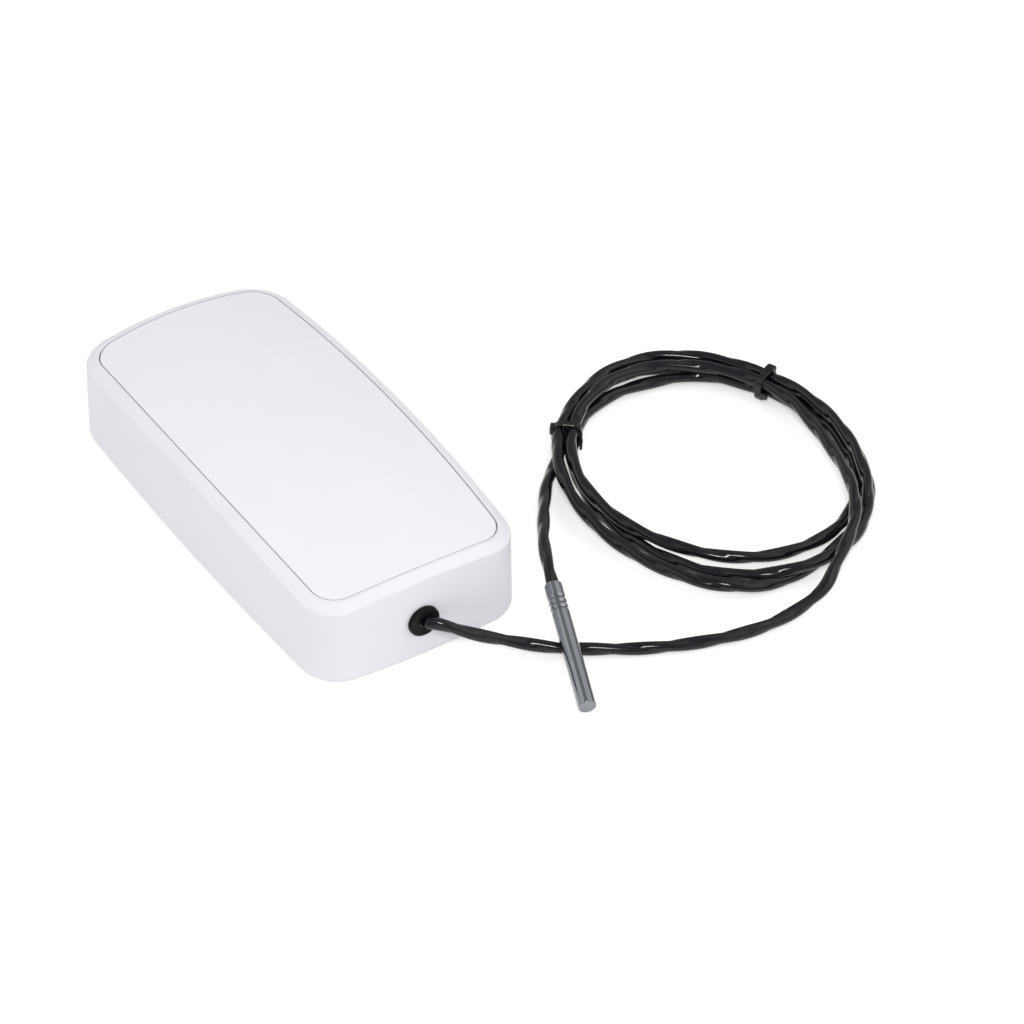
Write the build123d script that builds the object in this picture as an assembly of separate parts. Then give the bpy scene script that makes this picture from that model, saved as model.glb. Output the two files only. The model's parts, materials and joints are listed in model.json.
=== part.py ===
from build123d import *
import os
from math import asin, atan2, cos, degrees, radians, sin, sqrt, tan

# Temperature data logger: a crowned plastic case with a wireless logger board and two AA cells
# inside, and a coiled cable that ends in a stainless steel probe.
# Millimetres. The origin is at the middle of the case's underside. X runs across the case,
# Y along it, and the cable leaves through the end wall that faces -Y.

# Case
case_width = 82.0
case_length = 168.0
case_height = 39.3
corner_radius = 14.4
side_bow = 2.3
end_bow = 2.3
crown_across = 4.95
crown_along = 5.35
draft_angle = 0.8
wall = 2.5
top_thickness = 2.0
shoulder_width = 3.2
shoulder_drop = 1.45
shoulder_round = 1.0
rim_height = 1.2
rim_round = 0.9
ledge_width = 1.1
fit_gap = 0.15

# Panel in the top
panel_inset = 4.5
panel_thickness = 2.0
panel_gap = 0.45
panel_seat_gap = 0.2
panel_edge_round = 0.3
clip_rows = 3
clip_pitch = 50.0
clip_inset = 4.0
clip_length = 6.0
clip_thickness = 1.4
clip_barb = 0.7
clip_slot_gap = 0.3

# Base plate
foot_inset = 1.7
foot_round = 0.4
spigot_height = 2.0
seal_thickness = 1.2
seal_width = 1.7

# Case screws, their inserts and bosses
boss_side_inset = 13.5
boss_end_inset = 14.5
boss_diameter = 8.6
boss_rib = 1.6
case_screw_diameter = 3.0
case_screw_length = 8.0
case_head_diameter = 5.5
case_head_height = 2.0
case_head_recess = 0.2
socket_width = 2.0
socket_depth = 1.2
insert_diameter = 4.6
insert_length = 5.0
thread_gap = 0.1
hole_gap = 0.3

# Circuit board
board_side_room = 12.0
board_end_room = 32.0
board_thickness = 1.6
board_corner = 2.0
board_y = -2.0
board_lift = 8.0
board_hole_inset = 4.0
post_diameter = 6.0
board_screw_diameter = 2.5
board_screw_length = 6.0
board_head_diameter = 4.5
board_head_height = 1.7

# Battery holder and cells
cell_diameter = 14.2
cell_length = 49.5
cell_nub_diameter = 5.4
cell_nub_height = 1.0
cell_pitch = 15.4
cell_edge_round = 0.8
holder_wall = 1.5
holder_floor = 1.5
holder_height = 11.0
holder_gap = 0.25
holder_y = 26.0
contact_thickness = 0.4
contact_width = 9.0
contact_height = 9.0
contact_bow = 2.2
contact_dimple = 0.6

# Components on the board
processor_size = 10.0
processor_height = 1.2
processor_x = 4.0
processor_y = -16.0
processor_legs = 8
leg_pitch = 1.0
leg_width = 0.4
leg_reach = 1.0
leg_thickness = 0.3
memory_length = 5.0
memory_width = 4.0
memory_height = 1.5
memory_x = 20.0
memory_y = -14.0
memory_legs = 4
crystal_length = 11.0
crystal_width = 4.6
crystal_height = 3.5
crystal_x = 4.0
crystal_y = -28.0
radio_width = 16.0
radio_length = 24.0
radio_thickness = 0.8
radio_x = -17.0
radio_y = -22.0
shield_width = 13.0
shield_length = 15.0
shield_height = 2.2
shield_wall = 0.3
antenna_diameter = 1.0
antenna_rise = 14.0
antenna_reach = 17.0
antenna_bend = 3.0
capacitor_diameter = 8.0
capacitor_height = 10.0
capacitor_base = 1.0
capacitor_x = 20.0
capacitor_pitch = 10.0
capacitor_y = -34.0

# Sensor connector on the board
socket_shell_width = 10.0
socket_shell_length = 6.0
socket_shell_height = 6.0
socket_shell_wall = 1.0
socket_edge = 3.0
plug_gap = 0.15
plug_overhang = 4.0
pin_diameter = 0.6
pin_pitch = 2.5
pin_count = 3
wire_diameter = 1.3

# Cable and grommet
cable_diameter = 4.2
grommet_x = -2.0
grommet_z = 16.0
grommet_flange = 11.2
grommet_flange_thickness = 1.7
grommet_neck = 7.6
grommet_inner_flange = 9.8
grommet_inner_thickness = 1.6
grommet_dish = 0.6
seat_gap = 0.1
bore_gap = 0.05
inner_cable_reach = 12.0

# Cable ties
tie_width = 2.6
tie_thickness = 1.1
tie_head_length = 3.6
tie_head_width = 2.4
tie_head_height = 4.2
tie_tail = 3.2

# Cable outside the case: points on the lead's and the tail's centre lines. Their Y, and that of
# the coil and the probe, is measured from the middle of the case's end wall.
lead_rest = [
    (0.9, -3.6, 15.8),
    (3.7, -5.7, 14.8),
    (8.0, -8.3, 12.6),
    (14.1, -10.8, 9.4),
    (21.5, -13.7, 6.2),
    (28.4, -18.6, 4.6),
    (35.9, -24.1, 3.8),
    (47.0, -29.9, 2.15),
    (60.3, -38.1, 2.15),
    (78.4, -45.6, 2.15),
    (95.5, -49.6, 2.15),
    (107.7, -49.4, 2.3),
    (117.0, -48.0, 3.0),
    (124.6, -45.6, 4.2),
    (131.2, -41.5, 5.0),
    (140.0, -31.8, 5.2),
]
tail_rest = [
    (54.3, 15.3, 12.6),
    (60.5, 26.2, 10.2),
    (67.5, 36.7, 7.8),
    (75.1, 46.8, 5.6),
    (82.7, 55.5, 4.4),
    (90.7, 62.9, 4.4),
]

# Coil of the cable
coil_x = 128.6
coil_from_end = 25.0
coil_half_width = 50.7
coil_half_length = 61.4
coil_hole_x = 129.4
coil_hole_from_end = 27.5
coil_band_across = 11.0
coil_band_along = 11.2
coil_height = 9.8
coil_round = 2.5
neck_width = 8.8
neck_drop = 0.2
neck_round = 3.0
tie_angles = {"right": 26.5, "left": 136.5}

# Probe
probe_diameter = 6.0
probe_length = 50.0
probe_wall = 0.4
probe_tip_wall = 0.6
probe_tip_round = 0.5
probe_tip = (27.8, -51.6, 3.0)
probe_end = (44.4, -5.55, 13.5)
collar_length = 5.6
collar_round = 0.8
crimp_pitch = 2.2
crimp_depth = 0.35
crimp_bulge = 0.08
crimp_count = 2
cable_in_probe = 13.0
cable_straight = 6.0
element_diameter = 2.6
element_length = 4.0
element_setback = 1.2
sensor_lead_diameter = 0.6
sensor_lead_pitch = 1.3

# Heights and places that follow from the sizes above
boss_x = case_width / 2 - boss_side_inset
boss_y = case_length / 2 - boss_end_inset
board_width = case_width - 2 * board_side_room
board_length = case_length - 2 * board_end_room
end_y = -case_length / 2
coil_y = end_y + coil_from_end
coil_hole_y = end_y + coil_hole_from_end
coil_hole_half_width = coil_half_width - coil_band_across
coil_hole_half_length = coil_half_length - coil_band_along
base_top = rim_height + spigot_height
ledge_height = base_top + seal_thickness
recess_depth = panel_thickness + panel_seat_gap
ceiling_drop = recess_depth + top_thickness
board_bottom = board_lift
board_top = board_bottom + board_thickness
wall_face_y = -case_length / 2 + tan(radians(draft_angle)) * (grommet_z - rim_height)
wall_depth = wall + ledge_width - wall_face_y - case_length / 2
cable_radius = cable_diameter / 2
probe_radius = probe_diameter / 2
bore_radius = cable_radius + bore_gap


def box(x0, x1, y0, y1, z0, z1):
    """A box between two corners."""
    middle = Pos((x0 + x1) / 2, (y0 + y1) / 2, (z0 + z1) / 2)
    return middle * Box(abs(x1 - x0), abs(y1 - y0), abs(z1 - z0))


def post(x, y, z0, z1, diameter):
    """An upright cylinder from z0 to z1."""
    return Pos(x, y, (z0 + z1) / 2) * Cylinder(diameter / 2, z1 - z0)


def beyond_end(point):
    """A point whose Y is measured from the case's end wall, in the frame of the case."""
    return point[0], point[1] + end_y, point[2]


def corners(x, y, middle_y=0.0):
    """The four points (+-x, middle_y +- y)."""
    return [(sx * x, middle_y + sy * y) for sx in (-1, 1) for sy in (-1, 1)]


def outline(inset, z):
    """The case's plan, drawn in by inset: four bowed sides with rounded corners."""
    half_x = case_width / 2 - inset
    half_y = case_length / 2 - inset
    corner_x = half_x - side_bow
    corner_y = half_y - end_bow
    sides = [
        ThreePointArc((corner_x, -corner_y), (half_x, 0), (corner_x, corner_y)),
        ThreePointArc((corner_x, corner_y), (0, half_y), (-corner_x, corner_y)),
        ThreePointArc((-corner_x, corner_y), (-half_x, 0), (-corner_x, -corner_y)),
        ThreePointArc((-corner_x, -corner_y), (0, -half_y), (corner_x, -corner_y)),
    ]
    plan = make_face(sides)
    return Pos(0, 0, z) * fillet(plan.vertices(), corner_radius - inset)


def slab(inset, z0, z1):
    """The plan drawn in by inset, from z0 up to z1."""
    return extrude(outline(inset, z0), z1 - z0)


def bow_radius(half_span, rise):
    """Radius of an arc that rises by rise over half its span."""
    return (half_span**2 + rise**2) / (2 * rise)


radius_across = bow_radius(case_width / 2, crown_across)
radius_along = bow_radius(case_length / 2, crown_along)


def crown_height(x, y):
    """Height of the crowned top surface at a point of the plan."""
    profile = case_height - radius_across + sqrt(radius_across**2 - x**2)
    axis_height = case_height - radius_along
    return axis_height + sqrt((profile - axis_height) ** 2 - y**2)


def under_crown(drop):
    """All that lies below the crowned top surface when it is lowered by drop."""
    half = 0.6 * case_width
    shoulder = case_height - radius_across + sqrt(radius_across**2 - half**2)
    low = -case_height
    left_top = (-half, 0, shoulder)
    right_top = (half, 0, shoulder)
    profile = make_face(
        [
            ThreePointArc(left_top, (0, 0, case_height), right_top),
            Polyline(right_top, (half, 0, low), (-half, 0, low), left_top),
        ]
    )
    axis = Axis((0, 0, case_height - radius_along), (1, 0, 0))
    swing = degrees(asin(0.6 * case_length / radius_along))
    return Pos(0, 0, -drop) * revolve(profile.rotate(axis, -swing), axis, 2 * swing)


def centre_key(edge):
    """An edge's middle, rounded, to tell edges apart."""
    middle = edge.center()
    return round(middle.X, 2), round(middle.Y, 2), round(middle.Z, 2)


def case_block():
    """The case's outer form: drafted walls, sloped shoulder and crowned top."""
    block = extrude(outline(0, rim_height), case_height, taper=draft_angle)
    block = block & under_crown(0)
    top = block.faces().sort_by(Axis.Z)[-1]
    block = chamfer(top.edges(), shoulder_width, shoulder_drop, reference=top)
    lip = [centre_key(edge) for edge in block.faces().sort_by(Axis.Z)[-1].edges()]
    upper = block.edges().filter_by(lambda edge: edge.bounding_box().min.Z > case_height / 2)
    below = [edge for edge in upper if centre_key(edge) not in lip]
    wall_top = [edge for edge in below if edge.length > 2 * shoulder_width - 1]
    block = fillet(wall_top, shoulder_round)
    rim = block.faces().sort_by(Axis.Z)[0]
    return fillet(rim.edges(), rim_round)


def clip_places():
    """Middle of each of the panel's clips, on both long sides."""
    clip_x = case_width / 2 - panel_inset - clip_inset
    rows = [(row - (clip_rows - 1) / 2) * clip_pitch for row in range(clip_rows)]
    return [(side * clip_x, y, side) for side in (-1, 1) for y in rows]


def boss_with_ribs(x, y):
    """A screw boss that hangs from the case's top, tied to the two walls beside it."""
    towards_x = 1 if x > 0 else -1
    towards_y = 1 if y > 0 else -1
    inside_x = case_width / 2 - wall
    inside_y = case_length / 2 - wall
    boss = post(x, y, base_top, case_height, boss_diameter)
    half = boss_rib / 2
    rib_x = box(x, towards_x * (inside_x - 1), y - half, y + half, ledge_height, case_height)
    rib_y = box(x - half, x + half, y, towards_y * (inside_y - 1), ledge_height, case_height)
    return boss + rib_x + rib_y


def main_body(shape):
    """The largest solid of a cut shape, without what was cut out of it."""
    return sorted(shape.solids(), key=lambda solid: solid.volume)[-1]


def clip_slot(x, y, side):
    """Room in the case's top for one of the panel's clips."""
    half_slot = clip_thickness / 2 + clip_slot_gap
    half_length = clip_length / 2 + clip_slot_gap
    near_side = x - side * half_slot
    far_side = x + side * (half_slot + clip_barb)
    low = case_height / 2
    return box(near_side, far_side, y - half_length, y + half_length, low, case_height)


def make_upper_shell():
    """Deep moulded case with a recess in its top, screw bosses and the cable's hole."""
    shell = case_block()
    recess = slab(panel_inset, case_height / 2, case_height + 1) - under_crown(recess_depth)
    shell = shell - recess
    hollow = slab(wall + ledge_width, ledge_height, case_height) & under_crown(ceiling_drop)
    shell = shell - hollow - slab(wall, 0, ledge_height)
    for x, y in corners(boss_x, boss_y):
        boss = boss_with_ribs(x, y) & under_crown(ceiling_drop - top_thickness / 2)
        shell = shell + (boss - slab_outside(wall + ledge_width / 2))
    for x, y in corners(boss_x, boss_y):
        shell = shell - post(x, y, base_top - 1, base_top + case_screw_length, insert_diameter)
    for x, y, side in clip_places():
        shell = main_body(shell - clip_slot(x, y, side))
    hole = Pos(grommet_x, wall_face_y, grommet_z) * Rot(90, 0, 0)
    return shell - hole * Cylinder(grommet_neck / 2 + seat_gap, 4 * wall)


def slab_outside(inset):
    """A frame round the plan, used to trim ribs back to the wall's inside."""
    frame = box(-case_width, case_width, -case_length, case_length, 0, case_height + 1)
    return frame - slab(inset, -1, case_height + 2)


def make_top_panel():
    """Crowned panel that snaps into the recess by its clips."""
    plate = slab(panel_inset + panel_gap, case_height / 2, case_height + 1) & under_crown(0)
    plate = plate - under_crown(panel_thickness)
    top = plate.faces().sort_by(Axis.Z)[-1]
    plate = fillet(top.edges(), panel_edge_round)
    for x, y, side in clip_places():
        seat = crown_height(x, y) - panel_thickness
        catch = seat - panel_seat_gap - top_thickness - clip_slot_gap
        half = clip_thickness / 2
        leg = box(x - half, x + half, y - clip_length / 2, y + clip_length / 2, catch - 2, seat + 1)
        barb_profile = Plane.XZ * make_face(
            Polyline(
                (x + side * half, catch),
                (x + side * (half + clip_barb), catch),
                (x + side * half, catch - 1.6),
                close=True,
            )
        )
        barb = Pos(0, y + clip_length / 2, 0) * extrude(barb_profile, clip_length)
        plate = plate + leg + barb
    return plate


def make_base_plate():
    """Cover under the case: a foot, a spigot inside the shell and posts for the board."""
    foot = slab(foot_inset, 0, rim_height)
    foot = fillet(foot.faces().sort_by(Axis.Z)[0].edges(), foot_round)
    plate = foot + slab(wall + fit_gap, rim_height, base_top)
    for x, y in board_hole_places():
        plate = plate + post(x, y, base_top - 1, board_bottom, post_diameter)
        plate = plate - post(x, y, base_top, board_bottom + 1, board_screw_diameter + thread_gap)
    head_top = case_head_recess + case_head_height
    for x, y in corners(boss_x, boss_y):
        plate = plate - post(x, y, -1, head_top, case_head_diameter + 2 * hole_gap)
        plate = plate - post(x, y, 0, base_top + 1, case_screw_diameter + hole_gap)
    return plate


def make_base_seal():
    """Flat rubber ring between the base plate and the shell's ledge."""
    outer_inset = wall + fit_gap
    return slab(outer_inset, base_top, ledge_height) - slab(outer_inset + seal_width, 0, case_height)


def screw(diameter, length, head_diameter, head_height):
    """A pan head screw that points up, with its head's seat at z = 0."""
    head = Pos(0, 0, -head_height / 2) * Cylinder(head_diameter / 2, head_height)
    head = fillet(head.faces().sort_by(Axis.Z)[0].edges(), head_height / 4)
    key = extrude(RegularPolygon(socket_width / 2, 6, major_radius=False), socket_depth)
    head = head - Pos(0, 0, -head_height) * key
    return head + Pos(0, 0, length / 2) * Cylinder(diameter / 2, length)


def make_case_screws():
    """Four screws up through the base plate into the inserts."""
    seat = case_head_recess + case_head_height
    one = screw(case_screw_diameter, case_screw_length, case_head_diameter, case_head_height)
    return [Pos(x, y, seat) * one for x, y in corners(boss_x, boss_y)]


def make_threaded_inserts():
    """Four brass bushes in the bosses, each with a groove round it."""
    middle = Pos(0, 0, insert_length / 2)
    groove = Cylinder(insert_diameter, insert_length / 5)
    groove = groove - Cylinder(insert_diameter / 2 - 0.4, insert_length)
    bush = middle * Cylinder(insert_diameter / 2, insert_length)
    bush = bush - middle * Cylinder((case_screw_diameter + thread_gap) / 2, 2 * insert_length)
    bush = bush - middle * groove
    return [Pos(x, y, base_top + fit_gap) * bush for x, y in corners(boss_x, boss_y)]


def board_hole_places():
    """The four fixing holes of the board."""
    return corners(board_width / 2 - board_hole_inset, board_length / 2 - board_hole_inset, board_y)


def make_circuit_board():
    """Board with rounded corners and four fixing holes."""
    plan = Pos(0, board_y, board_bottom) * RectangleRounded(board_width, board_length, board_corner)
    board = extrude(plan, board_thickness)
    for x, y in board_hole_places():
        board = board - post(x, y, 0, board_top + 1, board_screw_diameter + 2 * thread_gap)
    return board


def make_board_screws():
    """Four screws that hold the board down on its posts."""
    one = screw(board_screw_diameter, board_screw_length, board_head_diameter, board_head_height)
    flipped = Rot(180, 0, 0) * one
    return [Pos(x, y, board_top) * flipped for x, y in board_hole_places()]


def leg_row(count, edge, body_height):
    """Legs of a chip along one side: down from the body to the board, then outwards."""
    legs = []
    for number in range(count):
        along = (number - (count - 1) / 2) * leg_pitch
        side0 = along - leg_width / 2
        side1 = along + leg_width / 2
        knee = edge + leg_reach / 2
        legs.append(box(edge - 0.2, knee, side0, side1, body_height / 2 - leg_thickness, body_height / 2))
        legs.append(box(knee - leg_thickness, knee, side0, side1, 0, body_height / 2))
        legs.append(box(knee - leg_thickness, edge + leg_reach, side0, side1, 0, leg_thickness))
    return legs


def chip(length, width, height, sides, legs):
    """A moulded chip that stands on its legs, with a row of them on each side named by its angle."""
    body = box(-length / 2, length / 2, -width / 2, width / 2, 0.1, height)
    body = chamfer(body.faces().sort_by(Axis.Z)[-1].edges(), 0.2)
    for angle in sides:
        edge = length / 2 if angle % 180 == 0 else width / 2
        for leg in leg_row(legs, edge, height):
            body = body + Rot(0, 0, angle) * leg
    return body


def make_microcontroller():
    """Square processor chip with legs on all four sides."""
    part = chip(processor_size, processor_size, processor_height, (0, 90, 180, 270), processor_legs)
    return Pos(processor_x, processor_y, board_top) * part


def make_memory_chip():
    """Small chip that keeps the readings, with legs on two sides."""
    part = chip(memory_length, memory_width, memory_height, (90, 270), memory_legs)
    return Pos(memory_x, memory_y, board_top) * part


def make_clock_crystal():
    """Flat crystal can with a rolled rim."""
    can = extrude(SlotOverall(crystal_length - 0.8, crystal_width - 0.8), crystal_height)
    can = fillet(can.faces().sort_by(Axis.Z)[-1].edges(), 0.5)
    rim = extrude(SlotOverall(crystal_length, crystal_width), 0.5)
    return Pos(crystal_x, crystal_y, board_top) * (can + rim)


def make_radio_board():
    """Radio module's own small board, with half holes along its long edges."""
    board = Pos(0, 0, radio_thickness / 2) * Box(radio_width, radio_length, radio_thickness)
    for side in (-1, 1):
        for number in range(8):
            y = (number - 3.5) * 2.0 - 2.0
            board = board - post(side * radio_width / 2, y, -1, radio_thickness + 1, 0.9)
    return Pos(radio_x, radio_y, board_top) * board


def make_radio_shield():
    """Folded can over the radio module's chips, open underneath."""
    outer = Pos(0, 0, shield_height / 2) * Box(shield_width, shield_length, shield_height)
    outer = fillet(outer.edges().filter_by(Axis.Z), 0.5)
    inner = box(
        -shield_width / 2 + shield_wall,
        shield_width / 2 - shield_wall,
        -shield_length / 2 + shield_wall,
        shield_length / 2 - shield_wall,
        -1,
        shield_height - shield_wall,
    )
    return Pos(radio_x, radio_y - 2.5, board_top + radio_thickness) * (outer - inner)


def tube_along(path, radius):
    """A round solid along a path of straight runs and tangent arcs."""
    start = Plane(origin=path @ 0, z_dir=path % 0)
    return sweep(start * Circle(radius), path=path)


def make_antenna():
    """Bent wire that stands on the radio module and runs towards the middle of the case."""
    foot_x = radio_x
    foot_y = radio_y + radio_length / 2 - 2.0
    foot_z = board_top + radio_thickness
    path = FilletPolyline(
        (foot_x, foot_y, foot_z),
        (foot_x, foot_y, foot_z + antenna_rise),
        (foot_x, foot_y - antenna_reach, foot_z + antenna_rise),
        radius=antenna_bend,
    )
    return tube_along(path, antenna_diameter / 2)


def make_supply_capacitors():
    """Two round capacitors with a crimped groove, each on its square base."""
    cans = []
    for number in range(2):
        x = capacitor_x
        y = capacitor_y + number * capacitor_pitch
        side = capacitor_diameter / 2 + 0.2
        base = box(-side, side, -side, side, 0, capacitor_base)
        base = chamfer(base.edges().filter_by(Axis.Z).sort_by(Axis.X)[-2:], 1.5)
        can = post(0, 0, capacitor_base, capacitor_height, capacitor_diameter)
        can = fillet(can.faces().sort_by(Axis.Z)[-1].edges(), 0.6)
        can = can - Pos(0, 0, capacitor_base + 1.6) * Torus(capacitor_diameter / 2 + 0.1, 0.5)
        cans.append(Pos(x, y, board_top) * (base + can))
    return cans


holder_bottom = board_top
cell_axis_z = holder_bottom + holder_floor + holder_gap + cell_diameter / 2
bay_length = cell_length + cell_nub_height + contact_bow + contact_dimple + 2 * contact_thickness
bay_half = bay_length / 2
cell_shift = (contact_bow - contact_dimple) / 2


def cell_rows():
    """Each cell's Y, and +1 where its positive end points to +X."""
    return [(holder_y - cell_pitch / 2, 1), (holder_y + cell_pitch / 2, -1)]


def make_battery_holder():
    """Open tray with a rounded trough for each cell and a divider between them."""
    half_x = bay_half + holder_wall
    half_y = cell_pitch / 2 + cell_diameter / 2 + holder_gap + holder_wall
    tray_middle = Pos(0, holder_y, holder_bottom + holder_height / 2)
    tray = tray_middle * Box(2 * half_x, 2 * half_y, holder_height)
    tray = fillet(tray.edges().filter_by(Axis.Z), 1.5)
    trough_radius = cell_diameter / 2 + holder_gap
    for y, _ in cell_rows():
        trough = Pos(0, y, cell_axis_z) * Rot(0, 90, 0) * Cylinder(trough_radius, bay_length)
        above_middle = Pos(0, y, cell_axis_z + cell_diameter / 2)
        above = above_middle * Box(bay_length, 2 * trough_radius, cell_diameter)
        tray = tray - trough - above
    return tray - end_pockets()


def end_pockets():
    """Shallow pockets at both ends of the bays, where the contact plates stand."""
    half_y = cell_pitch / 2 + contact_width / 2 + holder_gap
    low = cell_axis_z - contact_height / 2 - holder_gap
    end = -bay_half + contact_thickness
    pocket = box(-bay_half, end, holder_y - half_y, holder_y + half_y, low, low + case_height)
    return pocket + mirror(pocket, Plane.YZ)


def make_battery_cell(number):
    """One AA cell: a sealed can with a rounded rim and its positive nub."""
    y, towards = cell_rows()[number]
    can = Cylinder(cell_diameter / 2, cell_length)
    can = fillet(can.edges(), cell_edge_round)
    nub = Pos(0, 0, cell_length / 2) * Cylinder(cell_nub_diameter / 2, 2 * cell_nub_height)
    nub = fillet(nub.faces().sort_by(Axis.Z)[-1].edges(), 0.4)
    cell = can + nub
    nub_end = bay_half - contact_thickness - contact_dimple - seat_gap
    middle_x = towards * (nub_end - cell_nub_height - cell_length / 2)
    return Pos(middle_x, y, cell_axis_z) * Rot(0, 90 * towards, 0) * cell


def contact_plate(side, y, width):
    """A plate that stands against the bay's end wall, on the side given by its sign."""
    middle_x = side * (bay_half - contact_thickness / 2)
    return Pos(middle_x, y, cell_axis_z) * Box(contact_thickness, width, contact_height)


def contact_leaf(side, y):
    """A bowed spring leaf on a plate, which presses on a cell's flat end."""
    base = side * (bay_half - contact_thickness / 2)
    peak = side * (bay_half - contact_thickness - contact_bow + seat_gap)
    rise = contact_height / 2 - 1
    half = contact_thickness / 2
    outer = ThreePointArc((base, -rise), (peak, 0), (base, rise))
    inner = ThreePointArc((base, rise - 2 * half), (peak + side * 2 * half, 0), (base, -rise + 2 * half))
    top = Line((base, rise), (base, rise - 2 * half))
    bottom = Line((base, -rise + 2 * half), (base, -rise))
    profile = Plane.XZ * make_face([outer, top, inner, bottom])
    leaf = extrude(profile, 4.0)
    return Pos(0, y + 2.0, cell_axis_z) * leaf


def contact_bump(side, y):
    """A pressed dimple on a plate, which meets a cell's nub."""
    radius = bow_radius(1.8, contact_dimple)
    middle = side * (bay_half - contact_thickness - contact_dimple + radius)
    ball = Pos(middle, y, cell_axis_z) * Rot(0, 0, 90) * Sphere(radius)
    face = side * (bay_half - contact_thickness / 2)
    keep = box(face, side * (bay_half - 3), y - 3, y + 3, cell_axis_z - 3, cell_axis_z + 3)
    return ball & keep


def make_contact_negative():
    """Plate and leaf at the negative end of the first cell."""
    y = cell_rows()[0][0]
    return contact_plate(-1, y, contact_width) + contact_leaf(-1, y)


def make_contact_positive():
    """Plate and dimple at the positive end of the second cell."""
    y = cell_rows()[1][0]
    return contact_plate(-1, y, contact_width) + contact_bump(-1, y)


def make_contact_bridge():
    """Plate across both cells: a dimple for one and a leaf for the other."""
    plate = contact_plate(1, holder_y, cell_pitch + contact_width)
    return plate + contact_bump(1, cell_rows()[0][0]) + contact_leaf(1, cell_rows()[1][0])


board_edge_y = board_y - board_length / 2
socket_back_y = board_edge_y + socket_edge + socket_shell_length
socket_front_y = board_edge_y + socket_edge
plug_half_width = socket_shell_width / 2 - socket_shell_wall - plug_gap
plug_low = board_top + socket_shell_wall + plug_gap
plug_high = board_top + socket_shell_height
plug_back_y = socket_front_y - plug_overhang
plug_front_y = socket_back_y - socket_shell_wall - plug_gap
plug_middle_z = (plug_low + plug_high) / 2


def pin_places():
    """X of each pin of the sensor connector."""
    return [grommet_x + (number - (pin_count - 1) / 2) * pin_pitch for number in range(pin_count)]


def make_sensor_socket():
    """Pin header on the board's edge, open towards the grommet, with its pins."""
    half = socket_shell_width / 2
    top = plug_high + plug_gap + socket_shell_wall
    shell = box(grommet_x - half, grommet_x + half, socket_front_y, socket_back_y, board_top, top)
    mouth = box(
        grommet_x - half + socket_shell_wall,
        grommet_x + half - socket_shell_wall,
        socket_front_y - 1,
        socket_back_y - socket_shell_wall,
        board_top + socket_shell_wall,
        top - socket_shell_wall,
    )
    shell = shell - mouth
    for x in pin_places():
        reach = socket_shell_length / 2
        pin = Pos(x, socket_back_y - reach / 2 - 0.5, plug_middle_z) * Rot(90, 0, 0)
        shell = shell + pin * Cylinder(pin_diameter / 2, reach + 1)
    return shell


def make_sensor_plug():
    """Plug on the wires' ends, with a bore for each pin and a latch rib."""
    left = grommet_x - plug_half_width
    right = grommet_x + plug_half_width
    body = box(left, right, plug_back_y, plug_front_y, plug_low, plug_high)
    rib_end = socket_front_y - 0.5
    rib = box(grommet_x - 1.5, grommet_x + 1.5, plug_back_y, rib_end, plug_high, plug_high + 0.8)
    body = body + rib
    for x in pin_places():
        bore = Pos(x, plug_front_y, plug_middle_z) * Rot(90, 0, 0)
        body = body - bore * Cylinder(pin_diameter / 2 + bore_gap, 2 * socket_shell_length - 4)
    return body


def make_cable_grommet():
    """Rubber grommet: dished outer flange, neck through the wall and tapered inner flange."""
    flange = grommet_flange / 2
    neck = grommet_neck / 2
    inner = grommet_inner_flange / 2
    back = seat_gap
    face = back + grommet_flange_thickness
    inside = -wall_depth - seat_gap
    end = inside - grommet_inner_thickness
    profile = Polyline(
        (bore_radius, face - grommet_dish),
        (flange - 1.4, face - grommet_dish / 3),
        (flange - 0.5, face),
        (flange, face - 0.5),
        (flange, back),
        (neck, back),
        (neck, inside),
        (inner, inside),
        (inner - 0.8, end),
        (bore_radius, end),
        close=True,
    )
    body = make_face(profile)
    rim = [point for point in body.vertices() if point.X > flange - 0.7 and point.Y > back + 0.1]
    body = fillet(rim, 0.3)
    solid = revolve(body, Axis.Y)
    return Pos(grommet_x, wall_face_y, grommet_z) * Rot(0, 0, 180) * solid


cable_start_y = wall_face_y - seat_gap - grommet_flange_thickness + grommet_dish
inner_end_y = wall_face_y + wall_depth + inner_cable_reach


def make_inner_cable():
    """The cable's end: through the grommet and a little way into the case."""
    length = inner_end_y - cable_start_y
    middle = Pos(grommet_x, cable_start_y + length / 2, grommet_z) * Rot(90, 0, 0)
    return middle * Cylinder(cable_radius, length)


def make_plug_wires():
    """Three insulated wires from the cable's end down to the plug."""
    wires = []
    for number, x in enumerate(pin_places()):
        start_x = grommet_x + (number - (pin_count - 1) / 2) * wire_diameter * 1.02
        path = FilletPolyline(
            (start_x, inner_end_y, grommet_z),
            (start_x, inner_end_y + 3.0, grommet_z),
            (x, plug_back_y - 3.0, plug_middle_z),
            (x, plug_back_y, plug_middle_z),
            radius=3.0,
        )
        wires.append(tube_along(path, wire_diameter / 2))
    return wires


def tie_strap(width, height, rounding):
    """A closed strap round a bundle of that width and height, in the XZ plane about the origin."""
    hole = RectangleRounded(width, height, rounding)
    band = RectangleRounded(width + 2 * tie_thickness, height + 2 * tie_thickness, rounding + tie_thickness)
    ring = extrude(Plane.XZ * (band - hole), tie_width / 2, both=True)
    rims = ring.edges().filter_by(lambda edge: abs(abs(edge.center().Y) - tie_width / 2) < 0.01)
    rims = [edge for edge in rims if edge.length > 3]
    outer = [edge for edge in rims if edge_is_outside(edge, width, height)]
    return fillet(outer, 0.3)


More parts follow.
